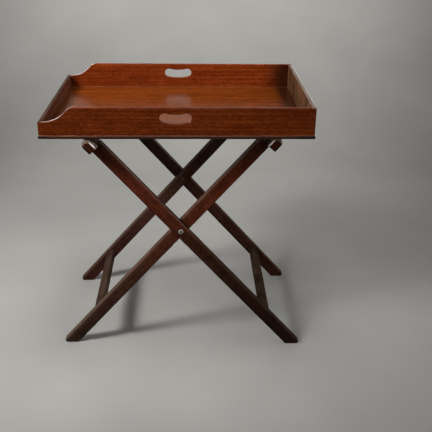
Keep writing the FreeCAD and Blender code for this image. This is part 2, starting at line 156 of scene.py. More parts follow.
# Grain textures: the stretch along the grain and across it, the detail and the roughness
GRAIN_TEXTURES = {
    "streak": ((3.2, 120.0, 120.0), 5.0, 0.60),
    "speckle": ((95.0, 170.0, 170.0), 4.0, 0.75),
    "fine": ((9.0, 460.0, 460.0), 3.0, 0.6),
    "ribbon": ((1.6, 17.0, 17.0), 2.0, 0.5),
    "mottle": ((16.0, 34.0, 34.0), 4.0, 0.6),
    "flecks": ((48.0, 980.0, 980.0), 1.0, 0.5),
}
WAVER_STRETCH = (1.3, 7.0, 7.0)
HEART_PLACE = (0.0, 0.043, 0.131)
HEART_TAPER = (0.035, 1.0, 1.0)
RING_SHARE = 0.24
FINE_SHARE = 0.16
SPECKLE_SHARE = 1.10
FIGURE_BASE = 0.44

# Steps of the shared effects: the two ends of the mask, and its values there when they aren't 0 and 1
PORE_STEP = (0.60, 0.72)
STREAK_STEP = (0.25, 0.75, 0.12, 0.36)
RIBBON_STEP = (0.34, 0.66)
ARRIS_LIKENESS = (0.995, 0.86)
ARRIS_UPWARD = (0.04, 0.28)
ARRIS_DOWNWARD = (-0.05, -0.45)
ARRIS_WORN = (0.36, 0.62)
ARRIS_BROKEN = (0.28, 0.55)
DUST_UPWARD = (0.25, 0.95)
DUST_GATHERED = (0.25, 0.75)
SCUFF_STEP = (0.48, 0.72)
TARNISH_STEP = (0.42, 0.62)
SCRATCH_STEP = (0.55, 0.7)

# Threads of the webbing, and dents and scratches in metal
THREAD_LIFT = 0.6
THREAD_LOW = 0.4
SLUB_STRETCH = (420.0, 60.0, 1.0)
DENT_SMOOTHNESS = 0.6
SCRATCH_STRETCH = (300.0, 300.0, 4200.0)
ARRIS_SAMPLES = 6


# Node helpers


def opaque(colour):
    """A colour of three values gets its alpha. A link stays as it is."""
    return (*colour, 1.0) if isinstance(colour, tuple) else colour


class Graph:
    """One node tree, with short ways to add nodes whose inputs are links or plain values."""

    def __init__(self, tree):
        self.tree = tree

    def node(self, kind, inputs=None, **settings):
        made = self.tree.nodes.new(kind)
        for name, value in settings.items():
            setattr(made, name, value)
        for name, value in (inputs or {}).items():
            self.feed(made.inputs[name], value)
        return made

    def feed(self, socket, value):
        if isinstance(value, bpy.types.NodeSocket):
            self.tree.links.new(value, socket)
        else:
            socket.default_value = value

    def math(self, operation, first, second=0.0, clamp=False):
        inputs = {0: first, 1: second}
        return self.node("ShaderNodeMath", inputs, operation=operation, use_clamp=clamp).outputs[0]

    def product(self, first, *others):
        for other in others:
            first = self.math("MULTIPLY", first, other)
        return first

    def total(self, first, *others):
        for other in others:
            first = self.math("ADD", first, other)
        return first

    def multiply_add(self, first, factor, added):
        inputs = {0: first, 1: factor, 2: added}
        return self.node("ShaderNodeMath", inputs, operation="MULTIPLY_ADD").outputs[0]

    def vector_math(self, operation, first, second):
        return self.node("ShaderNodeVectorMath", {0: first, 1: second}, operation=operation).outputs["Vector"]

    def stretched(self, vector, scale):
        return self.vector_math("MULTIPLY", vector, scale)

    def split(self, vector):
        return self.node("ShaderNodeSeparateXYZ", {0: vector}).outputs

    def mix(self, share, first, second, blend="MIX"):
        """A colour between first and second. Inputs 6 and 7 are the mix node's colour pair."""
        inputs = {0: share, 6: opaque(first), 7: opaque(second)}
        return self.node("ShaderNodeMix", inputs, data_type="RGBA", blend_type=blend).outputs[2]

    def shaded(self, share, colour, shade):
        """The colour, multiplied by the shade where the share is 1."""
        return self.mix(share, colour, self.mix(1.0, colour, shade, "MULTIPLY"))

    def step(self, value, low, high, to_low=0.0, to_high=1.0):
        """A smooth step from to_low to to_high as value goes from low to high."""
        inputs = {"Value": value, "From Min": low, "From Max": high, "To Min": to_low, "To Max": to_high}
        return self.node("ShaderNodeMapRange", inputs, interpolation_type="SMOOTHSTEP").outputs["Result"]

    def noise(self, vector, scale, detail, roughness, output="Fac"):
        inputs = {"Vector": vector, "Scale": scale, "Detail": detail, "Roughness": roughness}
        return self.node("ShaderNodeTexNoise", inputs).outputs[output]

    def ramp(self, value, stops):
        made = self.node("ShaderNodeValToRGB", {"Fac": value})
        elements = made.color_ramp.elements
        while len(elements) < len(stops):
            elements.new(1.0)
        for element, (place, colour) in zip(elements, stops):
            element.position = place
            element.color = opaque(colour)
        return made.outputs["Color"]

    def bump(self, height, strength, distance):
        inputs = {"Height": height, "Strength": strength, "Distance": distance}
        return self.node("ShaderNodeBump", inputs).outputs["Normal"]


def new_group(name, inputs, outputs):
    """A shader node group with named float or vector inputs and outputs, and its graph and ends."""
    tree = bpy.data.node_groups.new(name, "ShaderNodeTree")
    for label, (kind, default) in inputs.items():
        socket = tree.interface.new_socket(label, in_out="INPUT", socket_type=kind)
        if default is not None:
            socket.default_value = default
    for label, kind in outputs.items():
        tree.interface.new_socket(label, in_out="OUTPUT", socket_type=kind)
    graph = Graph(tree)
    start = graph.node("NodeGroupInput").outputs
    end = graph.node("NodeGroupOutput").inputs
    return tree, graph, start, end


FLOAT = "NodeSocketFloat"
VECTOR = "NodeSocketVector"


def timber_figure_group():
    """Grain in solid wood. The vector's X runs along the grain, in metres."""
    tree, g, given, out = new_group(
        "timber_figure",
        {"Vector": (VECTOR, None), "Ring Width": (FLOAT, 0.012), "Waver": (FLOAT, 0.012)},
        {"Figure": FLOAT, "Ribbon": FLOAT, "Pores": FLOAT, "Height": FLOAT},
    )
    slow = g.noise(g.stretched(given["Vector"], WAVER_STRETCH), *GRAIN_WAVER, output="Color")
    centred = g.vector_math("SUBTRACT", slow, (0.5, 0.5, 0.5))
    waver = g.node("ShaderNodeCombineXYZ", {"Y": given["Waver"], "Z": given["Waver"]}).outputs[0]
    bent = g.vector_math("ADD", given["Vector"], g.vector_math("MULTIPLY", centred, waver))
    from_heart = g.stretched(g.vector_math("ADD", bent, HEART_PLACE), HEART_TAPER)
    distance = g.node("ShaderNodeVectorMath", {0: from_heart}, operation="LENGTH").outputs["Value"]
    turns = g.math("DIVIDE", distance, given["Ring Width"])
    rings = g.multiply_add(g.math("SINE", g.product(turns, math.tau)), 0.5, 0.5)
    grain = {}
    for name, (stretch, detail, roughness) in GRAIN_TEXTURES.items():
        grain[name] = g.noise(g.stretched(bent, stretch), 1.0, detail, roughness)
    pores = g.step(grain["flecks"], *PORE_STEP)
    banded = g.product(rings, grain["ribbon"], RING_SHARE)
    streaked = g.step(grain["streak"], *STREAK_STEP)
    grained = g.total(g.product(grain["fine"], FINE_SHARE), g.product(grain["speckle"], SPECKLE_SHARE))
    bands = g.total(g.product(grain["ribbon"], 0.5), g.product(grain["mottle"], 0.5))
    g.feed(out["Figure"], g.math("SUBTRACT", g.total(banded, streaked, grained), FIGURE_BASE, True))
    g.feed(out["Ribbon"], g.step(bands, *RIBBON_STEP))
    g.feed(out["Pores"], pores)
    g.feed(out["Height"], g.math("SUBTRACT", g.product(grain["fine"], 0.5), pores))
    return tree


def worn_arris_group():
    """A piece's arrises: all of them, the rubbed patches, and those that look up or down."""
    tree, g, given, out = new_group(
        "worn_arris",
        {"Vector": (VECTOR, None), "Reach": (FLOAT, 0.004), "Breakup": (FLOAT, 30.0)},
        {"Edge": FLOAT, "Wear": FLOAT, "Upper": FLOAT, "Under": FLOAT},
    )
    rounded = g.node("ShaderNodeBevel", {"Radius": given["Reach"]}, samples=ARRIS_SAMPLES).outputs["Normal"]
    true_normal = g.node("ShaderNodeNewGeometry").outputs["Normal"]
    likeness = g.node("ShaderNodeVectorMath", {0: rounded, 1: true_normal}, operation="DOT_PRODUCT")
    edge = g.step(likeness.outputs["Value"], *ARRIS_LIKENESS)
    spaces = {"vector_type": "NORMAL", "convert_from": "WORLD", "convert_to": "OBJECT"}
    rise = g.split(g.node("ShaderNodeVectorTransform", {0: rounded}, **spaces).outputs[0])["Z"]
    patches = g.noise(given["Vector"], given["Breakup"], *ARRIS_PATCHES)
    broken = g.step(patches, *ARRIS_BROKEN)
    g.feed(out["Edge"], edge)
    g.feed(out["Wear"], g.product(edge, g.step(patches, *ARRIS_WORN)))
    g.feed(out["Upper"], g.product(edge, g.step(rise, *ARRIS_UPWARD), broken))
    g.feed(out["Under"], g.product(edge, g.step(rise, *ARRIS_DOWNWARD)))
    return tree


def settled_dust_group():
    """Dust and dulled polish on what faces up, and scuffs in patches everywhere."""
    tree, g, given, out = new_group(
        "settled_dust",
        {"Vector": (VECTOR, None), "Patch Scale": (FLOAT, 9.0)},
        {"Dust": FLOAT, "Scuff": FLOAT},
    )
    up = g.split(g.node("ShaderNodeTexCoord").outputs["Normal"])["Z"]
    patches = g.noise(given["Vector"], given["Patch Scale"], *DUST_PATCHES)
    g.feed(out["Dust"], g.product(g.step(up, *DUST_UPWARD), g.step(patches, *DUST_GATHERED)))
    g.feed(out["Scuff"], g.step(patches, *SCUFF_STEP))
    return tree


def plain_weave_group():
    """A plain weave on a strap's own UV map, in metres: one thread over, one under."""
    tree, g, given, out = new_group(
        "plain_weave",
        {"Vector": (VECTOR, None), "Pitch": (FLOAT, WEAVE_PITCH)},
        {"Height": FLOAT, "Warp": FLOAT, "Slub": FLOAT},
    )
    parts = g.split(given["Vector"])
    across = g.math("DIVIDE", parts["X"], given["Pitch"])
    along = g.math("DIVIDE", parts["Y"], given["Pitch"])
    over = g.math("FLOORED_MODULO", g.total(g.math("FLOOR", across), g.math("FLOOR", along)), 2.0)
    under = g.math("SUBTRACT", 1.0, over)

    def thread(place, lifted):
        """The rounded back of a thread, higher where it is lifted over the other."""
        rounded = g.math("ABSOLUTE", g.math("SINE", g.product(place, math.pi)))
        return g.product(rounded, g.multiply_add(lifted, THREAD_LIFT, THREAD_LOW))

    warp = thread(across, over)
    weft = thread(along, under)
    g.feed(out["Height"], g.math("MAXIMUM", warp, weft))
    g.feed(out["Warp"], g.math("GREATER_THAN", warp, weft))
    g.feed(out["Slub"], g.noise(g.stretched(given["Vector"], SLUB_STRETCH), *SLUB_THREADS))
    return tree


def hammered_metal_group():
    """Hammer facets, tarnish patches and fine scratches on small ironwork."""
    tree, g, given, out = new_group(
        "hammered_metal",
        {"Vector": (VECTOR, None), "Dent Scale": (FLOAT, 420.0), "Tarnish Scale": (FLOAT, 260.0)},
        {"Height": FLOAT, "Tarnish": FLOAT, "Scratch": FLOAT},
    )
    inputs = {"Vector": given["Vector"], "Scale": given["Dent Scale"], "Smoothness": DENT_SMOOTHNESS}
    dents = g.node("ShaderNodeTexVoronoi", inputs, feature="SMOOTH_F1").outputs["Distance"]
    patches = g.noise(given["Vector"], given["Tarnish Scale"], *TARNISH_PATCHES)
    scratch = g.noise(g.stretched(given["Vector"], SCRATCH_STRETCH), *METAL_SCRATCHES)
    g.feed(out["Height"], dents)
    g.feed(out["Tarnish"], g.step(patches, *TARNISH_STEP))
    g.feed(out["Scratch"], g.step(scratch, *SCRATCH_STEP))
    return tree


TIMBER_FIGURE = timber_figure_group()
WORN_ARRIS = worn_arris_group()
SETTLED_DUST = settled_dust_group()
PLAIN_WEAVE = plain_weave_group()
HAMMERED_METAL = hammered_metal_group()


# Materials


def new_material(name):
    material = bpy.data.materials.new(name)
    material.use_nodes = True
    g = Graph(material.node_tree)
    shader = material.node_tree.nodes["Principled BSDF"]
    return material, g, shader


def use_group(g, tree, inputs):
    return g.node("ShaderNodeGroup", inputs, node_tree=tree).outputs


def set_constants(shader, values):
    for name, value in values.items():
        shader.inputs[name].default_value = value


# How the grain lies: the turn that brings a piece's grain onto X
ALONG_TRAY = (0.0, 0.0, 0.0)
ACROSS_TRAY = (0.0, 0.0, -math.pi / 2)
ALONG_OUTER_LEG = (0.0, LEG_SLOPE - math.pi / 2, 0.0)
ALONG_INNER_LEG = (0.0, math.pi / 2 - LEG_SLOPE, 0.0)

# Finishes: the darkest to the lightest grain, the colour of rubbed edges, partly a painted highlight on the
# stand's upper arrises, and the polish
TRAY_POLISH = {
    "dark": (0.056, 0.0080, 0.0012), "middle": (0.105, 0.0168, 0.0024), "light": (0.166, 0.0345, 0.0062),
    "worn_and_lit": (0.32, 0.150, 0.090), "wear_share": 0.55, "dust_share": 0.015,
    "roughness": 0.32, "specular": 0.05, "coat_roughness": 0.12, "ring": 0.012,
}
# A lighter copy of the tray's polish for the back side: painted light, for the glow its inside face gets from
# the polished floor
BACK_LIT_POLISH = {
    **TRAY_POLISH,
    "dark": (0.104, 0.0144, 0.0020), "middle": (0.194, 0.0290, 0.0042), "light": (0.285, 0.0560, 0.0105),
}
FLOOR_POLISH = {
    "dark": (0.096, 0.0186, 0.0024), "middle": (0.150, 0.0312, 0.0042), "light": (0.204, 0.0480, 0.0076),
    "worn_and_lit": (0.33, 0.16, 0.09), "wear_share": 0.0, "dust_share": 0.0,
    "roughness": 0.18, "specular": 0.17, "coat_roughness": 0.10, "ring": 0.016,
}
STAND_POLISH = {
    "dark": (0.036, 0.0080, 0.0040), "middle": (0.074, 0.0175, 0.0078), "light": (0.120, 0.0330, 0.0155),
    "worn_and_lit": (0.235, 0.162, 0.120), "wear_share": 0.0, "dust_share": 0.02,
    "roughness": 0.42, "specular": 0.002, "coat_roughness": 0.20, "ring": 0.010,
}
# A darker, greyer copy of the stand's polish for the rear legs: painted shade, for the tray's shadow over
# them
REAR_SHADED_POLISH = {
    **STAND_POLISH,
    "dark": (0.028, 0.0120, 0.0085), "middle": (0.056, 0.0250, 0.0180), "light": (0.090, 0.0430, 0.0310),
}
STRETCHER_POLISH = {**STAND_POLISH, "dust_share": 0.30, "roughness": 0.55}
RAIL_POLISH = {
    **STAND_POLISH,
    "dark": (0.024, 0.0100, 0.0050), "middle": (0.052, 0.0240, 0.0120), "light": (0.088, 0.0440, 0.0230),
}
LOW_END_POLISH = {**TRAY_POLISH, "wear_share": 0.06, "specular": 0.002, "roughness": 0.5}

# What all the finishes share: where the grain's colours lie, and how wear and dust change the polish
FIGURE_STOPS = (0.18, 0.48, 0.78)
RIBBON_STOPS = [(0.0, (0.80, 0.77, 0.74)), (1.0, (1.18, 1.18, 1.18))]
PORE_SHARE = 0.4
WEAR_UPWARD = (0.0, 0.45, 0.15, 1.0)
DUST_COLOUR = (0.22, 0.150, 0.095)
DUST_ROUGHNESS = 0.8
SCUFF_ROUGHNESS = 0.3
GRAIN_ROUGHNESS = (-0.03, 0.05)
UNDERSIDE = (-0.3, -0.8)
UNPOLISHED_ROUGHNESS = 0.55
GRAIN_RELIEF = (0.16, 0.0006)

# Inside of the tray: painted shade in its corners and on its lip, a painted highlight, partly rubbed, on the
# lip's top, and a painted glint along the back side's foot
INNER_FACE = (0.5, 0.9)
WELL_HALF_LENGTH = 0.379
WELL_HALF_DEPTH = 0.262
WALL_CORNER = (0.278, 0.366)
FLOOR_CORNER = (0.315, 0.355)
LOW_CORNER = (-0.335, -0.379, 0.0, 0.75)
CORNER_DRIFT = 0.035
# Painted shade in the tray's corners
CORNER_PAINTED_SHADE = (0.23, 0.31, 0.75)
# Painted shade on the lip and on what doesn't face up, and a painted highlight, partly rubbed, on the lip's
# top
LIP_FADE = 0.004
LIP_PAINTED_SHADE = (0.22, 0.25, 0.32)
LIP_RUBBED_HIGHLIGHT = (0.500, 0.260, 0.180)
LIP_UPWARD = (0.74, 0.96, 0.0, 0.90)
FLOOR_UNDERSIDE = (0.4, -0.2)
# Painted glint along the foot of the back side's inside face, where it meets the floor
BACK_FOOT = 0.7388
BACK_FOOT_BAND = 0.005
BACK_FOOT_SHARE = 0.5
BACK_FOOT_GLINT = (0.36, 0.130, 0.050)

# The full-height end has faded and dried on its inside, and both ends are bare on top
FADED_STOPS = [
    (0.18, (0.108, 0.0500, 0.0240)), (0.46, (0.182, 0.0900, 0.0440)), (0.76, (0.268, 0.1480, 0.0760)),
]
LOW_FADED_STOPS = [
    (0.18, (0.080, 0.0270, 0.0130)), (0.46, (0.180, 0.0590, 0.0290)), (0.76, (0.310, 0.1300, 0.0740)),
]
RUN_STRETCH = (1.0, 16.0, 5.0)
RUN_STEP = (0.44, 0.58, 0.0, 0.85)
RUN_SHADE = (0.38, 0.28, 0.26)
LOW_END_BARE = (0.050, 0.034, 0.025)
HIGH_END_BARE = (0.162, 0.113, 0.082)
END_UPWARD = (0.25, 0.70, 0.0, 0.85)

# How the stand's colour is scaled by height in metres: on the legs, painted shade under the tray and on the
# outer leg below the pivots, and a painted lighter band on the inner leg above its pivot; all of it darker
# towards the floor
OUTER_LEG_PAINTED_SHADE = [
    (0.06, (0.18, 0.38, 0.64)),
    (0.25, (0.38, 0.68, 1.0)),
    (0.395, (0.55, 0.80, 1.0)),
    (0.435, (0.88, 0.95, 1.0)),
    (0.56, (1.0, 0.92, 0.95)),
    (0.70, (0.46, 0.62, 0.95)),
]
INNER_LEG_PAINTED_LIGHT_AND_SHADE = [
    (0.06, (0.28, 0.58, 0.85)),
    (0.25, (0.46, 0.75, 1.0)),
    (0.42, (0.85, 0.95, 1.0)),
    (0.49, (1.15, 1.12, 1.10)),
    (0.58, (0.98, 0.92, 0.92)),
    (0.70, (0.38, 0.54, 0.86)),
]
STRETCHER_SHADES = [
    (0.06, (0.17, 0.36, 0.58)),
    (0.25, (0.42, 0.72, 1.0)),
    (0.44, (0.90, 0.98, 1.0)),
]
# Painted shade on the rear legs, deepest under the tray
REAR_PAINTED_SHADE = [
    (0.06, (0.62, 0.50, 0.48)),
    (0.25, (0.78, 0.66, 0.68)),
    (0.37, (0.80, 0.76, 0.72)),
    (0.44, (0.66, 0.68, 0.66)),
    (0.52, (0.48, 0.56, 0.58)),
    (0.70, (0.35, 0.52, 0.68)),
]
# Painted shade on the stand's downward arrises
STAND_UNDER_PAINTED_SHADE = (0.25, 0.30, 0.36)
STAND_STAIN = (0.42, 0.46, 0.55)
STAIN_STEP = (0.50, 0.70, 0.0, 0.55)

# How much the stand's upper arrises are lightened, below and above the pivots, and the band beside them:
# rubbed and partly a painted highlight, and the smaller share below the pivots is painted shade
LIGHTENED_HEIGHTS = (0.38, 0.46)
OUTER_LEG_LIGHTENED = (0.14, 0.62)
INNER_LEG_LIGHTENED = (0.26, 0.40)
CROSS_PIECE_LIGHTENED = (0.60, 0.60)
RAIL_LIGHTENED = 0.70
EDGE_BAND = (0.0098, 0.0036)
OUTER_LEG_BAND = 0.04
INNER_LEG_BAND = 0.17
EASED_FACING = (0.15, 0.40)
EASED_UPWARD = (0.04, 0.25)
EASED_DOWNWARD = (-0.04, -0.25)
EASED_BROKEN = (0.28, 0.55, 0.35, 1.0)

# The rounded-over ends of the top rails: rubbed by handling and partly painted light where they face up, with
# a painted glint on their inward side
OUTER_RAIL_END = 0.280
INNER_RAIL_END = 0.2585
RAIL_END_ROUNDING = 0.009
RAIL_END_REACH = (2.2, 1.2)
RAIL_END_ROUND = (0.985, 0.90)
RAIL_END_FLAT = (0.93, 0.99)
RAIL_END_ABOVE = (-0.05, 0.10)
RAIL_END_GRAIN = (0.70, 0.46, 0.42)
RAIL_END_RUBBED_AND_LIT = (0.125, 0.080, 0.068)
RAIL_END_SHARE = 0.75
RAIL_END_PAINTED_GLINT = (0.720, 0.650, 0.615)
GLINT_INWARD = (0.10, 0.22)
GLINT_ROUND = (0.60, 0.76)
GLINT_FROM = (0.702, 0.707)
GLINT_TO = (0.722, 0.717)
INWARD_GLOSS = (0.0, 1.0, 0.3, 1.0)

# Steps between one piece's place in the log and the next, so that no two boards share a figure
LOG_STEP = (0.71, 0.23, 0.37)

# Metals: the bright and the tarnished colour, how metallic, and how rough where bright
METALS = {
    "pivot_iron": {
        "bright": (0.16, 0.15, 0.14), "tarnished": (0.045, 0.038, 0.032),
        "metallic": 1.0, "roughness": 0.38,
    },
    # Darker iron for the rear pivot: painted shade, for the tray's shadow over it
    "shade_darkened_iron": {
        "bright": (0.060, 0.048, 0.040), "tarnished": (0.022, 0.016, 0.013),
        "metallic": 0.7, "roughness": 0.55,
    },
    "washer_steel": {
        "bright": (0.78, 0.75, 0.68), "tarnished": (0.52, 0.48, 0.42),
        "metallic": 0.45, "roughness": 0.25,
    },
    "screw_steel": {
        "bright": (0.42, 0.40, 0.37), "tarnished": (0.13, 0.11, 0.09),
        "metallic": 1.0, "roughness": 0.35,
    },
    "tack_brass": {
        "bright": (0.56, 0.41, 0.19), "tarnished": (0.20, 0.13, 0.06),
        "metallic": 1.0, "roughness": 0.32,
    },
}
METAL_ARRIS = {"Reach": 0.0012, "Breakup": 300.0}
TARNISH_ROUGHNESS = 0.28
SCRATCH_ROUGHNESS = 0.08
HAMMER_RELIEF = (0.35, 0.0005)

# Jute: its threads, the shade between them, and soiling
WEFT_COLOUR = (0.270, 0.185, 0.100)
WARP_COLOUR = (0.350, 0.255, 0.150)
SLUB_COLOUR = (0.46, 0.36, 0.23)
SLUB_SHOWS = (0.45, 0.75, 0.0, 0.5)
BETWEEN_COLOUR = (0.07, 0.045, 0.025)
BETWEEN_SHOWS = (0.62, 0.15, 0.0, 0.8)
GRIME_COLOUR = (0.13, 0.085, 0.05)
GRIME_SHOWS = (0.45, 0.75, 0.0, 0.45)
JUTE_ROUGHNESS = (0.0, 1.0, 0.95, 0.78)
WEAVE_RELIEF = (0.7, 0.0006)
JUTE_CONSTANTS = {"Specular IOR Level": 0.2, "Sheen Weight": 0.25, "Sheen Roughness": 0.5}


class Board:
    """What the shading of one board may read: its place, the way it faces, its figure and its wear."""

    def __init__(self, g, grain, number, ring):
        coordinates = g.node("ShaderNodeTexCoord").outputs
        self.object = coordinates["Object"]
        self.place = g.split(self.object)
        self.facing = g.split(coordinates["Normal"])
        offset = tuple(number * step for step in LOG_STEP)
        inputs = {"Vector": self.object, "Rotation": grain, "Location": offset}
        along = g.node("ShaderNodeMapping", inputs).outputs[0]
        self.figure = use_group(g, TIMBER_FIGURE, {"Vector": along, "Ring Width": ring})
        self.arris = use_group(g, WORN_ARRIS, {"Vector": self.object})
        self.dulled = use_group(g, SETTLED_DUST, {"Vector": self.object})


# Shading of the pieces: each gives the colour, the mask of what shines, and the mask of what is unpolished


def inner_face(g, facing, way):
    """The face that looks into the tray, where way is the sign of its normal."""
    return g.step(facing, *(way * limit for limit in INNER_FACE))


def corner_painted_shade(g, board, colour, high_corner):
    """Painted shade that darkens the inside of the tray towards its two ends."""
    ragged = g.math("SUBTRACT", g.noise(board.object, *CORNER_RAGGED), 0.5)
    along = g.total(board.place["X"], g.product(ragged, CORNER_DRIFT))
    shaded_ends = g.math("MAXIMUM", g.step(along, *high_corner), g.step(along, *LOW_CORNER))
    return g.shaded(shaded_ends, colour, CORNER_PAINTED_SHADE)


def front_side_shading(g, board, colour):
    """The front side, with painted shade darkening its corners inside."""
    inside = inner_face(g, board.facing["Y"], 1)
    return g.mix(inside, colour, corner_painted_shade(g, board, colour, WALL_CORNER)), board.arris["Edge"], 0.0


def back_side_shading(g, board, colour):
    """The back side: painted shade darkening its corners inside, and a painted glint along its foot where it
    meets the floor.
    """
    inside = inner_face(g, board.facing["Y"], -1)
    near_floor = g.step(board.place["Z"], BACK_FOOT + BACK_FOOT_BAND, BACK_FOOT, 0.0, BACK_FOOT_SHARE)
    rubbed_and_lit = g.mix(g.product(inside, near_floor), colour, BACK_FOOT_GLINT)
    return g.mix(inside, colour, corner_painted_shade(g, board, rubbed_and_lit, WALL_CORNER)), board.arris["Edge"], 0.0


def bare_top(g, board, colour, bare):
    return g.mix(g.step(board.facing["Z"], *END_UPWARD), colour, bare)


def low_end_shading(g, board, colour):
    """The low end, dulled on its inside and bare on top."""
    inside = inner_face(g, board.facing["X"], 1)
    colour = g.mix(inside, colour, g.ramp(board.figure["Figure"], LOW_FADED_STOPS))
    return bare_top(g, board, colour, LOW_END_BARE), 0.0, 0.0


def high_end_shading(g, board, colour):
    """The full-height end: faded on its inside, with dark runs down it, and bare on top."""
    inside = inner_face(g, board.facing["X"], -1)
    runs = g.noise(g.stretched(board.object, RUN_STRETCH), *END_RUNS)
    faded = g.ramp(board.figure["Figure"], FADED_STOPS)
    colour = g.mix(inside, colour, g.shaded(g.step(runs, *RUN_STEP), faded, RUN_SHADE))
    return bare_top(g, board, colour, HIGH_END_BARE), 0.0, 0.0


def floor_shading(g, board, colour):
    """A floor board: painted shade in the corners inside the tray, on the lip and on all faces that don't
    look up, and a painted highlight, partly rubbed, on top of the lip outside its sides.
    """
    past_end = g.math("SUBTRACT", g.math("ABSOLUTE", board.place["X"]), WELL_HALF_LENGTH)
    past_side = g.math("SUBTRACT", g.math("ABSOLUTE", board.place["Y"]), WELL_HALF_DEPTH)
    outside = g.step(g.math("MAXIMUM", past_end, past_side), 0.0, LIP_FADE)
    # Painted shade on the lip and on all faces that don't look up
    hidden = g.math("MAXIMUM", outside, g.step(board.facing["Z"], *FLOOR_UNDERSIDE))
    colour = g.shaded(hidden, corner_painted_shade(g, board, colour, FLOOR_CORNER), LIP_PAINTED_SHADE)
    rubbed_and_lit = g.product(outside, g.step(board.facing["Z"], *LIP_UPWARD))
    return g.mix(rubbed_and_lit, colour, LIP_RUBBED_HIGHLIGHT), rubbed_and_lit, outside


def shaded_and_rubbed_arrises(g, board, colour, share):
    """A stand piece's arrises: painted shade on the lower ones, and the upper ones lighter, rubbed and partly
    a painted highlight.
    """
    eased = g.step(g.math("ABSOLUTE", board.facing["Y"]), *EASED_FACING)
    upward = g.product(eased, g.step(board.facing["Z"], *EASED_UPWARD))
    downward = g.product(eased, g.step(board.facing["Z"], *EASED_DOWNWARD))
    # Painted shade on the downward arrises
    colour = g.shaded(g.math("MAXIMUM", board.arris["Under"], downward), colour, STAND_UNDER_PAINTED_SHADE)
    broken = g.step(g.noise(board.object, *EASED_PATCHES), *EASED_BROKEN)
    upper = g.math("MAXIMUM", board.arris["Upper"], g.product(upward, broken))
    return g.mix(g.product(upper, share), colour, STAND_POLISH["worn_and_lit"])


def beside_upper_edge(g, board, lean):
    """The band of a leg's faces that lies next to its upper edge. The lean is 1 where that edge faces +X."""
    sideways = g.product(g.math("SUBTRACT", board.place["X"], PIVOT_X), lean * math.cos(LEG_SLOPE))
    upward = g.product(g.math("SUBTRACT", board.place["Z"], PIVOT_Z), math.sin(LEG_SLOPE))
    inner, outer = EDGE_BAND
    return g.step(g.total(sideways, upward), LEG_HALF_WIDTH - inner, LEG_HALF_WIDTH - outer)


def stained(g, board, colour):
    """Old stains that darken a stand piece in patches."""
    patches = g.noise(board.object, *STAIN_PATCHES)
    return g.shaded(g.step(patches, *STAIN_STEP), colour, STAND_STAIN)


def stand_shading(shades, rubbed_and_lit, band=0.0, lean=1):
    """A leg or stretcher: its colour scaled by height, which on the legs is painted shade and light, then
    stained, and lightened along its upper arrises.
    """

    def shading(g, board, colour):
        height = board.place["Z"]
        # Colour scaled by height: on the legs this is painted shade and light
        colour = g.mix(1.0, colour, g.ramp(height, shades), "MULTIPLY")
        colour = stained(g, board, colour)
        if band:
            beside = g.product(beside_upper_edge(g, board, lean), band)
            colour = g.mix(beside, colour, STAND_POLISH["worn_and_lit"])
        share = g.step(height, *LIGHTENED_HEIGHTS, *rubbed_and_lit)
        return shaded_and_rubbed_arrises(g, board, colour, share), 0.0, 0.0

    return shading


def rail_shading(end, inward):
    """A top rail and its reach in Y: its rounded-over ends are rubbed and partly painted light, with a
    painted glint and the most shine on the inward side.
    """

    def shading(g, board, colour):
        colour = shaded_and_rubbed_arrises(g, board, colour, RAIL_LIGHTENED)
        limits = (end - share * RAIL_END_ROUNDING for share in RAIL_END_REACH)
        near_end = g.step(g.math("ABSOLUTE", board.place["Y"]), *limits)
        square = g.math("ABSOLUTE", board.facing["Y"])
        above = g.step(board.facing["Z"], *RAIL_END_ABOVE)
        rounding = g.product(near_end, g.step(square, *RAIL_END_ROUND), above)
        flat_end = g.product(near_end, g.step(square, *RAIL_END_FLAT))
        colour = g.shaded(flat_end, colour, RAIL_END_GRAIN)
        colour = g.mix(g.product(rounding, RAIL_END_SHARE), colour, RAIL_END_RUBBED_AND_LIT)
        height = board.place["Z"]
        band = g.product(g.step(height, *GLINT_FROM), g.step(height, *GLINT_TO))
        inner = g.step(g.product(board.facing["X"], inward), *GLINT_INWARD)
        # Painted glint on the inward upper rounding
        painted_glint = g.product(rounding, inner, g.step(square, *GLINT_ROUND), band)
        gloss = g.product(rounding, g.step(inner, *INWARD_GLOSS))
        return g.mix(painted_glint, colour, RAIL_END_PAINTED_GLINT), gloss, 0.0

    return shading


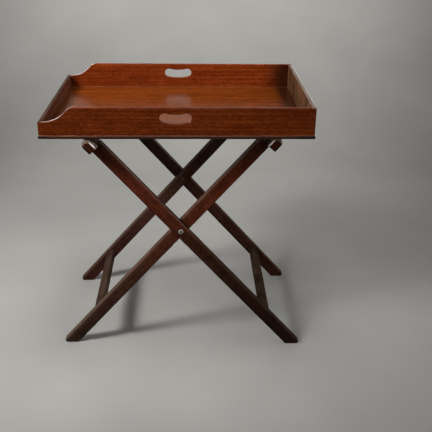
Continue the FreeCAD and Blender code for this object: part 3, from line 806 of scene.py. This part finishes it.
def polished_wood(name, finish, grain, number, shading):
    """Polished hardwood for one board: its figure, rubbed arrises, dust and scuffs."""
    material, g, shader = new_material(name)
    board = Board(g, grain, number, finish["ring"])
    figure = board.figure["Figure"]
    upward = board.facing["Z"]
    stops = list(zip(FIGURE_STOPS, (finish["dark"], finish["middle"], finish["light"])))
    colour, gloss, bare = shading(g, board, g.ramp(figure, stops))
    colour = g.mix(1.0, colour, g.ramp(board.figure["Ribbon"], RIBBON_STOPS), "MULTIPLY")
    colour = g.mix(g.product(board.figure["Pores"], PORE_SHARE), colour, finish["dark"])
    rubbed_and_lit = g.product(board.arris["Wear"], g.step(upward, *WEAR_UPWARD), finish["wear_share"])
    colour = g.mix(rubbed_and_lit, colour, finish["worn_and_lit"])
    dust = g.product(board.dulled["Dust"], finish["dust_share"])
    g.feed(shader.inputs["Base Color"], g.mix(dust, colour, DUST_COLOUR))
    polish = finish["roughness"]
    grainy = g.step(figure, 0.0, 1.0, *(polish + change for change in GRAIN_ROUGHNESS))
    scuffed = g.multiply_add(board.dulled["Scuff"], SCUFF_ROUGHNESS * polish, grainy)
    dusty = g.total(scuffed, g.product(dust, DUST_ROUGHNESS))
    unpolished = g.math("MAXIMUM", g.step(upward, *UNDERSIDE), bare)
    rough = g.math("ADD", dusty, g.product(unpolished, UNPOLISHED_ROUGHNESS), True)
    g.feed(shader.inputs["Roughness"], rough)
    g.feed(shader.inputs["Normal"], g.bump(board.figure["Height"], *GRAIN_RELIEF))
    g.feed(shader.inputs["Coat Weight"], gloss)
    set_constants(shader, {
        "Specular IOR Level": finish["specular"],
        "Coat Roughness": finish["coat_roughness"],
    })
    return material


def small_metal(name, bright, tarnished, metallic, roughness):
    """Worn metal for the pivots, tacks and screws."""
    material, g, shader = new_material(name)
    place = g.node("ShaderNodeTexCoord").outputs["Object"]
    work = use_group(g, HAMMERED_METAL, {"Vector": place})
    wear = use_group(g, WORN_ARRIS, {"Vector": place, **METAL_ARRIS})["Wear"]
    dulled = g.math("SUBTRACT", work["Tarnish"], wear, True)
    g.feed(shader.inputs["Base Color"], g.mix(dulled, bright, tarnished))
    rough = g.step(dulled, 0.0, 1.0, roughness, roughness + TARNISH_ROUGHNESS)
    g.feed(shader.inputs["Roughness"], g.multiply_add(work["Scratch"], SCRATCH_ROUGHNESS, rough))
    g.feed(shader.inputs["Normal"], g.bump(work["Height"], *HAMMER_RELIEF))
    set_constants(shader, {"Metallic": metallic})
    return material


def jute_webbing():
    """Woven strap: warp and weft threads, slubs, the shade between threads, and soiling in patches."""
    material, g, shader = new_material("jute_webbing")
    coordinates = g.node("ShaderNodeTexCoord").outputs
    weave = use_group(g, PLAIN_WEAVE, {"Vector": coordinates["UV"]})
    grime = g.noise(coordinates["Object"], *STRAP_GRIME)
    threads = g.mix(weave["Warp"], WEFT_COLOUR, WARP_COLOUR)
    threads = g.mix(g.step(weave["Slub"], *SLUB_SHOWS), threads, SLUB_COLOUR)
    threads = g.mix(g.step(weave["Height"], *BETWEEN_SHOWS), threads, BETWEEN_COLOUR)
    threads = g.mix(g.step(grime, *GRIME_SHOWS), threads, GRIME_COLOUR)
    g.feed(shader.inputs["Base Color"], threads)
    g.feed(shader.inputs["Roughness"], g.step(weave["Height"], *JUTE_ROUGHNESS))
    g.feed(shader.inputs["Normal"], g.bump(weave["Height"], *WEAVE_RELIEF))
    set_constants(shader, JUTE_CONSTANTS)
    return material


def sweep_paper():
    """The pale studio floor: plain paper, a little mottled."""
    material, g, shader = new_material("sweep_paper")
    cloud = g.noise(g.node("ShaderNodeTexCoord").outputs["Object"], *SWEEP_CLOUD)
    stops = [(place, tuple(share * value for value in SWEEP_COLOUR)) for place, share in SWEEP_MOTTLE]
    g.feed(shader.inputs["Base Color"], g.ramp(cloud, stops))
    set_constants(shader, {"Roughness": SWEEP_ROUGHNESS, "Specular IOR Level": SWEEP_SPECULAR})
    return material


# Setting the studio


def aimed(place, target):
    away = Vector(place) - Vector(target)
    return Matrix.Translation(place) @ away.to_track_quat("Z", "Y").to_matrix().to_4x4()


def soft_light(name, place, aim, size, spread, watts):
    data = bpy.data.lights.new(name, "AREA")
    data.shape = "RECTANGLE"
    data.size, data.size_y = size
    data.spread = math.radians(spread)
    data.energy = watts
    light = bpy.data.objects.new(name, data)
    light.matrix_world = aimed(place, aim)
    light.visible_camera = False
    scene.collection.objects.link(light)


def set_camera():
    data = bpy.data.cameras.new("photo_camera")
    data.sensor_width = SENSOR_MM
    data.lens = FOCAL_PIXELS / PHOTO_SIZE * SENSOR_MM
    camera = bpy.data.objects.new("photo_camera", data)
    turn = Matrix.Rotation(math.radians(-CAMERA_YAW), 4, "Z")
    turn @= Matrix.Rotation(math.radians(90.0 - CAMERA_PITCH), 4, "X")
    turn @= Matrix.Rotation(math.radians(CAMERA_ROLL), 4, "Z")
    camera.matrix_world = Matrix.Translation(CAMERA_PLACE) @ turn
    scene.collection.objects.link(camera)
    scene.camera = camera


def set_world():
    world = bpy.data.worlds.new("studio")
    world.use_nodes = True
    background = world.node_tree.nodes["Background"].inputs
    background["Color"].default_value = opaque(WORLD_COLOUR)
    background["Strength"].default_value = WORLD_STRENGTH
    scene.world = world


def sweep_profile():
    """The sweep's section in Y and Z, from its front edge to the top of the wall."""
    points = [(SWEEP_FRONT, 0.0)]
    for index in range(SWEEP_BEND_STEPS + 1):
        angle = -math.pi / 2 + index / SWEEP_BEND_STEPS * math.pi / 2
        y = SWEEP_WALL - SWEEP_BEND + SWEEP_BEND * math.cos(angle)
        points.append((y, SWEEP_BEND + SWEEP_BEND * math.sin(angle)))
    points.append((SWEEP_WALL, SWEEP_TOP))
    return points


def make_sweep():
    mesh = bpy.data.meshes.new("sweep")
    bm = bmesh.new()
    rows = []
    for y, z in sweep_profile():
        rows.append([bm.verts.new((side * SWEEP_HALF_WIDTH, y, z)) for side in (-1, 1)])
    for (a, b), (c, d) in zip(rows[:-1], rows[1:]):
        bm.faces.new((a, b, d, c)).smooth = True
    bm.to_mesh(mesh)
    bm.free()
    mesh.materials.append(sweep_paper())
    sweep = bpy.data.objects.new("sweep", mesh)
    scene.collection.objects.link(sweep)


scene.view_settings.view_transform = "Standard"
set_camera()
set_world()
for name, light in LIGHTS.items():
    soft_light(name, **light)
make_sweep()


# Wood and metal on the pieces that keep their modelled shape

OUTER_LEG_SHADING = stand_shading(OUTER_LEG_PAINTED_SHADE, OUTER_LEG_LIGHTENED, OUTER_LEG_BAND, 1)
OUTER_REAR_SHADING = stand_shading(REAR_PAINTED_SHADE, OUTER_LEG_LIGHTENED, OUTER_LEG_BAND, 1)
INNER_LEG_SHADING = stand_shading(INNER_LEG_PAINTED_LIGHT_AND_SHADE, INNER_LEG_LIGHTENED, INNER_LEG_BAND, -1)
INNER_REAR_SHADING = stand_shading(REAR_PAINTED_SHADE, INNER_LEG_LIGHTENED, INNER_LEG_BAND, -1)
STRETCHER_SHADING = stand_shading(STRETCHER_SHADES, CROSS_PIECE_LIGHTENED)
WOODEN_PIECES = {
    "tray_front_side": (TRAY_POLISH, ALONG_TRAY, front_side_shading),
    "tray_back_side": (BACK_LIT_POLISH, ALONG_TRAY, back_side_shading),
    "tray_low_end": (LOW_END_POLISH, ACROSS_TRAY, low_end_shading),
    "tray_high_end": (TRAY_POLISH, ACROSS_TRAY, high_end_shading),
    "tray_floor_front_board": (FLOOR_POLISH, ALONG_TRAY, floor_shading),
    "tray_floor_middle_board": (FLOOR_POLISH, ALONG_TRAY, floor_shading),
    "tray_floor_back_board": (FLOOR_POLISH, ALONG_TRAY, floor_shading),
    "outer_front_leg": (STAND_POLISH, ALONG_OUTER_LEG, OUTER_LEG_SHADING),
    "outer_rear_leg": (REAR_SHADED_POLISH, ALONG_OUTER_LEG, OUTER_REAR_SHADING),
    "outer_top_rail": (RAIL_POLISH, ACROSS_TRAY, rail_shading(OUTER_RAIL_END, 1)),
    "outer_stretcher": (STRETCHER_POLISH, ACROSS_TRAY, STRETCHER_SHADING),
    "inner_front_leg": (STAND_POLISH, ALONG_INNER_LEG, INNER_LEG_SHADING),
    "inner_rear_leg": (REAR_SHADED_POLISH, ALONG_INNER_LEG, INNER_REAR_SHADING),
    "inner_top_rail": (RAIL_POLISH, ACROSS_TRAY, rail_shading(INNER_RAIL_END, -1)),
    "inner_stretcher": (STRETCHER_POLISH, ACROSS_TRAY, STRETCHER_SHADING),
}
# The rear pivot gets a darker iron than the front: painted shade, for the tray's shadow over it
PIVOT_METALS = {
    "front": ("pivot_iron", "washer_steel"),
    "rear": ("shade_darkened_iron", "shade_darkened_iron"),
}


def dress(node, material):
    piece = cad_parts[node]
    piece.data.materials.clear()
    piece.data.materials.append(material)


for number, (node, (finish, grain, shading)) in enumerate(WOODEN_PIECES.items()):
    dress(node, polished_wood(node + "_polish", finish, grain, number, shading))

metals = {name: small_metal(name, **values) for name, values in METALS.items()}
for end, (pin_metal, plate_metal) in PIVOT_METALS.items():
    dress(end + "_pivot_pin", metals[pin_metal])
    for plate in ("outer_washer", "spacer", "inner_washer"):
        dress(end + "_pivot_" + plate, metals[plate_metal])
dress("tray_floor_screws", metals["screw_steel"])


# Webbing straps


def strap_route(low, high):
    """The strap's middle line in the XZ plane, with the way that its outer face looks at each point."""
    radius = STRAP_WRAP_RADIUS + STRAP_THICKNESS / 2
    top = high.z - STRAP_REACH
    crowns = {-1: low.x + STRAP_REACH, 1: high.x - STRAP_REACH}
    turn = math.pi / 2 + LEG_SLOPE
    wrap_steps = math.ceil(radius * turn / STRAP_STEP)
    tail_steps = math.ceil(STRAP_TAIL / STRAP_STEP)

    def half(side):
        """From the tail's end to the crown, on one rail."""
        out = Vector((side * math.cos(LEG_SLOPE), -math.sin(LEG_SLOPE)))
        down = Vector((-side * math.sin(LEG_SLOPE), -math.cos(LEG_SLOPE)))
        centre = Vector((crowns[side], top))
        points = []
        for index in range(tail_steps):
            along = STRAP_TAIL * (1 - index / tail_steps)
            points.append((centre + out * radius + down * along, out))
        for index in range(wrap_steps + 1):
            angle = turn * (1 - index / wrap_steps)
            way = Vector((side * math.sin(angle), math.cos(angle)))
            points.append((centre + way * radius, way))
        return points

    span = crowns[1] - crowns[-1]
    span_steps = math.ceil(span / STRAP_STEP)
    run = []
    for index in range(1, span_steps):
        share = index / span_steps
        sag = STRAP_SAG * 4 * share * (1 - share)
        run.append((Vector((crowns[-1] + span * share, top + radius - sag)), Vector((0.0, 1.0))))
    return half(-1) + run + half(1)[::-1]


def strap_ring():
    """The strap's section: places across it and the lift there, over its outer face and back under."""
    stations = []
    for index in range(STRAP_ACROSS + 1):
        across = -STRAP_WIDTH / 2 + index * STRAP_WIDTH / STRAP_ACROSS
        from_edge = STRAP_WIDTH / 2 - abs(across)
        fullness = math.sqrt(min(1.0, from_edge / STRAP_EDGE_ROUNDING))
        share = SELVEDGE_SHARE + (1 - SELVEDGE_SHARE) * fullness
        stations.append((across, STRAP_THICKNESS / 2 * share))
    return stations + [(across, -lift) for across, lift in reversed(stations)]


def strap_lengths(route):
    """How far along the strap each point of its route lies."""
    lengths = [0.0]
    for (before, _), (after, _) in zip(route[:-1], route[1:]):
        lengths.append(lengths[-1] + (after - before).length)
    return lengths


def strap_mesh(name, route, lengths, middle):
    """The strap as a closed skin, with a map in metres: X across it and Y along it."""
    ring = strap_ring()
    count = len(ring)
    mesh = bpy.data.meshes.new(name)
    bm = bmesh.new()
    map_layer = bm.loops.layers.uv.new("weave")
    rings = []
    for place, way in route:
        row = []
        for across, lift in ring:
            at = place + way * lift
            row.append(bm.verts.new((at.x, middle + across, at.y)))
        rings.append(row)

    def add_face(corners):
        """A face through corners, each given as the number of its ring and its place in that ring."""
        face = bm.faces.new([rings[station][side] for station, side in corners])
        face.smooth = True
        for loop, (station, side) in zip(face.loops, corners):
            loop[map_layer].uv = (ring[side][0], lengths[station])

    last = len(rings) - 1
    for station in range(last):
        for side in range(count):
            after = (side + 1) % count
            add_face([(station, side), (station, after), (station + 1, after), (station + 1, side)])
    for station in (0, last):
        for side in range(count // 2 - 1):
            other = count - 1 - side
            add_face([(station, side), (station, side + 1), (station, other - 1), (station, other)])
    bmesh.ops.recalc_face_normals(bm, faces=bm.faces)
    bm.to_mesh(mesh)
    bm.free()
    return mesh


def make_strap(name, node, material):
    low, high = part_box(node)
    low = Vector(low)
    high = Vector(high)
    middle = (low.y + high.y) / 2
    route = strap_route(low, high)
    lengths = strap_lengths(route)
    mesh = strap_mesh(name, route, lengths, middle)
    mesh.materials.append(material)
    strap = bpy.data.objects.new(name, mesh)
    scene.collection.objects.link(strap)
    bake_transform(strap)
    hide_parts(node)


webbing = jute_webbing()
for end in ("front", "rear"):
    make_strap("strap_" + end, "webbing_strap_" + end, webbing)


# Tacks: one node tree sets a domed head on every point it is given


def tack_head():
    """A domed head with a flat seat at z = 0, closed underneath."""
    mesh = bpy.data.meshes.new("tack_head")
    bm = bmesh.new()
    rings = []
    for ring in range(TACK_RINGS):
        angle = ring / TACK_RINGS * math.pi / 2
        radius = TACK_HEAD_RADIUS * math.cos(angle)
        height = TACK_HEAD_HEIGHT * math.sin(angle)
        row = []
        for side in range(TACK_SIDES):
            turn = side / TACK_SIDES * math.tau
            row.append(bm.verts.new((radius * math.cos(turn), radius * math.sin(turn), height)))
        rings.append(row)
    top = bm.verts.new((0.0, 0.0, TACK_HEAD_HEIGHT))
    for side in range(TACK_SIDES):
        after = (side + 1) % TACK_SIDES
        for lower, upper in zip(rings[:-1], rings[1:]):
            bm.faces.new((lower[side], lower[after], upper[after], upper[side])).smooth = True
        bm.faces.new((rings[-1][side], rings[-1][after], top)).smooth = True
    bm.faces.new(rings[0][::-1])
    bm.to_mesh(mesh)
    bm.free()
    head = bpy.data.objects.new("tack_head", mesh)
    scene.collection.objects.link(head)
    return head


def tack_row_tree():
    """Heads on points: each is leaned to its rail's face, then tilted and turned a little at random."""
    tree = bpy.data.node_groups.new("tack_row", "GeometryNodeTree")
    sockets = {}
    face = tree.interface
    face.new_socket("Geometry", in_out="INPUT", socket_type="NodeSocketGeometry")
    wanted = (("Head", "NodeSocketObject"), ("Lean", "NodeSocketVector"), ("Tilt", "NodeSocketFloat"),
              ("Seed", "NodeSocketInt"), ("Metal", "NodeSocketMaterial"))
    for label, kind in wanted:
        sockets[label] = face.new_socket(label, in_out="INPUT", socket_type=kind).identifier
    face.new_socket("Geometry", in_out="OUTPUT", socket_type="NodeSocketGeometry")
    g = Graph(tree)
    given = g.node("NodeGroupInput").outputs
    out = g.node("NodeGroupOutput").inputs
    info = g.node("GeometryNodeObjectInfo", {"Object": given["Head"]}).outputs
    back = g.math("MULTIPLY", given["Tilt"], -1.0)
    low = g.node("ShaderNodeCombineXYZ", {"X": back, "Y": back, "Z": 0.0}).outputs[0]
    inputs = {"X": given["Tilt"], "Y": given["Tilt"], "Z": math.tau}
    high = g.node("ShaderNodeCombineXYZ", inputs).outputs[0]
    inputs = {0: low, 1: high, "Seed": given["Seed"]}
    chance = g.node("FunctionNodeRandomValue", inputs, data_type="FLOAT_VECTOR").outputs[0]
    lean = g.node("FunctionNodeEulerToRotation", {0: given["Lean"]}).outputs[0]
    wobble = g.node("FunctionNodeEulerToRotation", {0: chance}).outputs[0]
    inputs = {"Rotation": lean, "Rotate By": wobble}
    turned = g.node("FunctionNodeRotateRotation", inputs, rotation_space="LOCAL").outputs[0]
    inputs = {"Points": given["Geometry"], "Instance": info["Geometry"], "Rotation": turned}
    heads = g.node("GeometryNodeInstanceOnPoints", inputs).outputs[0]
    whole = g.node("GeometryNodeRealizeInstances", {"Geometry": heads}).outputs[0]
    inputs = {"Geometry": whole, "Material": given["Metal"]}
    g.feed(out["Geometry"], g.node("GeometryNodeSetMaterial", inputs).outputs[0])
    return tree, sockets


def tack_places(side):
    """Where each head sits on the straps, on the outer face of the rail on that side."""
    places = []
    half = (TACKS_PER_END - 1) / 2
    for strap in ("webbing_strap_front", "webbing_strap_rear"):
        low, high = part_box(strap)
        crown = low[0] + STRAP_REACH if side < 0 else high[0] - STRAP_REACH
        out = STRAP_REACH * math.cos(LEG_SLOPE) - STRAP_TAIL / 2 * math.sin(LEG_SLOPE)
        down = STRAP_REACH * math.sin(LEG_SLOPE) + STRAP_TAIL / 2 * math.cos(LEG_SLOPE)
        middle = (low[1] + high[1]) / 2
        for index in range(TACKS_PER_END):
            y = middle + (index - half) * TACK_SPACING
            places.append((crown + side * out, y, high[2] - STRAP_REACH - down))
    return places


def make_tacks(name, node, body, side, head, tree, sockets):
    mesh = bpy.data.meshes.new(name)
    mesh.from_pydata(tack_places(side), [], [])
    tacks = bpy.data.objects.new(name, mesh)
    scene.collection.objects.link(tacks)
    rows = tacks.modifiers.new("rows", "NODES")
    rows.node_group = tree
    rows[sockets["Head"]] = head
    rows[sockets["Lean"]] = (0.0, side * (math.pi / 2 + LEG_SLOPE), 0.0)
    rows[sockets["Tilt"]] = TACK_TILT
    rows[sockets["Seed"]] = TACK_SEED + side
    rows[sockets["Metal"]] = metals["tack_brass"]
    bpy.context.view_layer.update()
    evaluated = tacks.evaluated_get(bpy.context.evaluated_depsgraph_get())
    finished = bpy.data.meshes.new_from_object(evaluated)
    tacks.modifiers.clear()
    tacks.data = finished
    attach(tacks, body)
    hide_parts(node)


head = tack_head()
tree, sockets = tack_row_tree()
make_tacks("outer_rail_tacks", "outer_strap_tacks", "outer_frame", -1, head, tree, sockets)
make_tacks("inner_rail_tacks", "inner_strap_tacks", "inner_frame", 1, head, tree, sockets)
bpy.data.objects.remove(head)
